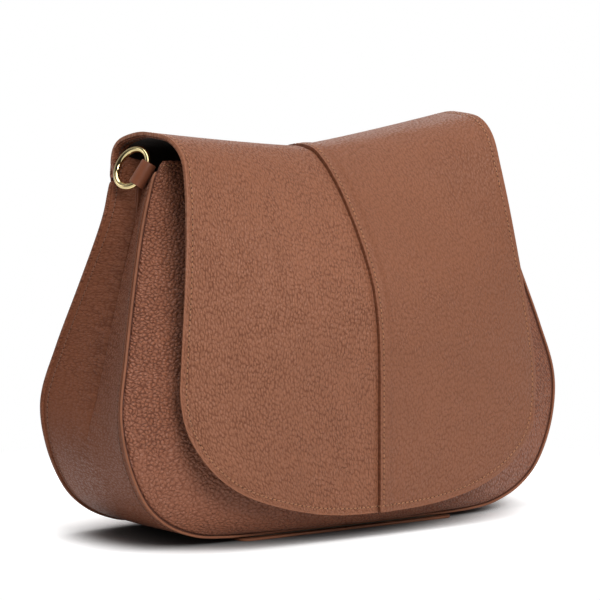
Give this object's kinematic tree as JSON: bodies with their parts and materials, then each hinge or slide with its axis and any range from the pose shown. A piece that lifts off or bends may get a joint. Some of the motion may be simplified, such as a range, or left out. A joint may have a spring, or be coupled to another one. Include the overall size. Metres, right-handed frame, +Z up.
{
  "type": "crossbody bag",
  "caption": "Leather saddle crossbody bag with a wide curved flap, folded side gussets and a strap ring at each side.",
  "frame": {"origin": "on the surface that the bag stands on, under the middle of its width", "axes": "+X to the bag's right as seen from the front, +Y from the front to the back, +Z up"},
  "size_m": [0.3306, 0.15, 0.2495],
  "materials": {
    "tan_leather": "pebbled, satin",
    "dark_leather": "pebbled, satin",
    "lining_cloth": "woven cotton",
    "board": "matt board",
    "gold_metal": "polished"
  },
  "bodies": {
    "bag": {"front_panel": "tan_leather", "back_panel": "tan_leather", "left_gusset": "dark_leather", "right_gusset": "dark_leather", "base_strip": "dark_leather", "front_piping": "tan_leather", "back_piping": "tan_leather", "front_lining": "lining_cloth", "back_lining": "lining_cloth", "left_gusset_lining": "lining_cloth", "right_gusset_lining": "lining_cloth", "base_board": "board", "base_lining": "lining_cloth", "front_facing": "tan_leather", "back_facing": "tan_leather", "slip_pocket": "lining_cloth", "zip_tape": "lining_cloth", "zip_teeth": "gold_metal", "left_tab": "dark_leather", "right_tab": "dark_leather", "snap_socket": "gold_metal"},
    "flap": {"flap_left_panel": "tan_leather", "flap_right_panel": "tan_leather", "flap_stiffener": "board", "flap_lining": "lining_cloth", "snap_stud": "gold_metal"},
    "left_ring": {"left_ring": "gold_metal"},
    "right_ring": {"right_ring": "gold_metal"},
    "zip_slider": {"zip_slider": "gold_metal"},
    "zip_puller": {"zip_puller": "gold_metal"}
  },
  "joints": [
    {"name": "flap_hinge", "type": "hinge", "parent": "bag", "child": "flap", "pos_m": [0, 0.02819, 0.2189], "axis": [-1, 0, 0], "range_deg": [0, 140]},
    {"name": "left_ring_hinge", "type": "hinge", "parent": "bag", "child": "left_ring", "pos_m": [-0.12027, -0.00231, 0.22406], "axis": [0.4891, -0.2079, 0.8471], "range_deg": [0, 130]},
    {"name": "right_ring_hinge", "type": "hinge", "parent": "bag", "child": "right_ring", "pos_m": [0.12027, -0.00231, 0.22406], "axis": [0.4891, 0.2079, -0.8471], "range_deg": [0, 130]},
    {"name": "zip_slide", "type": "slide", "parent": "bag", "child": "zip_slider", "axis": [-1, 0, 0], "range_m": [0, 0.1324]},
    {"name": "puller_hinge", "type": "hinge", "parent": "zip_slider", "child": "zip_puller", "pos_m": [0.0662, 0.01517, 0.17826], "axis": [0, 0, 1], "range_deg": [0, 180]}
  ]
}
